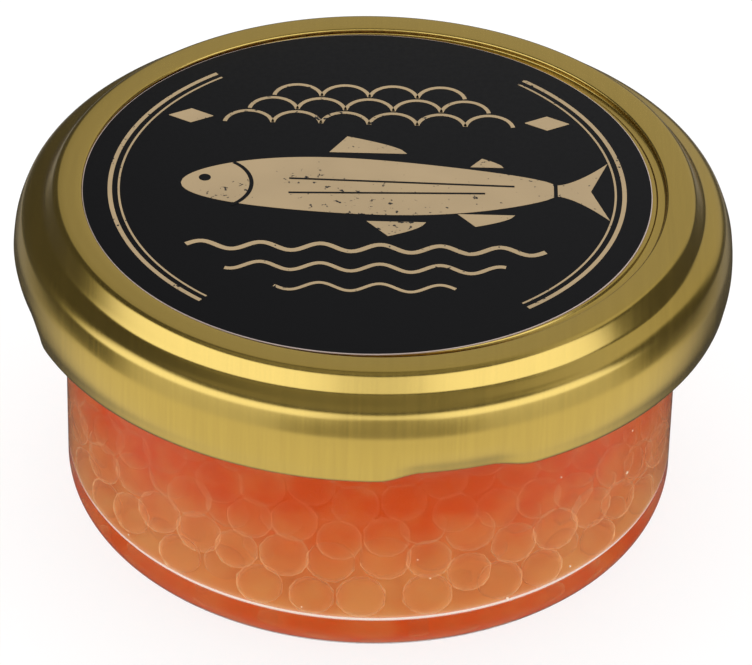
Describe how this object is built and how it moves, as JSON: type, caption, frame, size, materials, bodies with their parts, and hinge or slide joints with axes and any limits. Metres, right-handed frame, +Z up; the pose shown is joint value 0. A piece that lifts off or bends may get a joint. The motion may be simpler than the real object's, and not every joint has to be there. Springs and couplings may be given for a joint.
{
  "type": "jar of salmon roe",
  "caption": "Short round clear glass jar packed with orange salmon roe, shut with a gold twist-off metal lid that carries a round black label.",
  "frame": {"origin": "middle of the ring that the jar stands on, directly under the middle of the lid", "axes": "+Z up along the jar's axis; -Y towards the front, where the label reads upright; +X to the right seen from the front"},
  "size_m": [0.0738, 0.0738, 0.0374],
  "materials": {
    "clear_glass": "polished clear soda-lime glass",
    "gold_lacquer": "brushed tinplate under gold lacquer",
    "black_label": "smooth black label paper with tan print",
    "salmon_roe": "wet translucent orange fish eggs in their brine"
  },
  "bodies": {
    "root": {"glass_jar": "clear_glass", "lid": "gold_lacquer", "label": "black_label", "roe": "salmon_roe"}
  },
  "joints": []
}
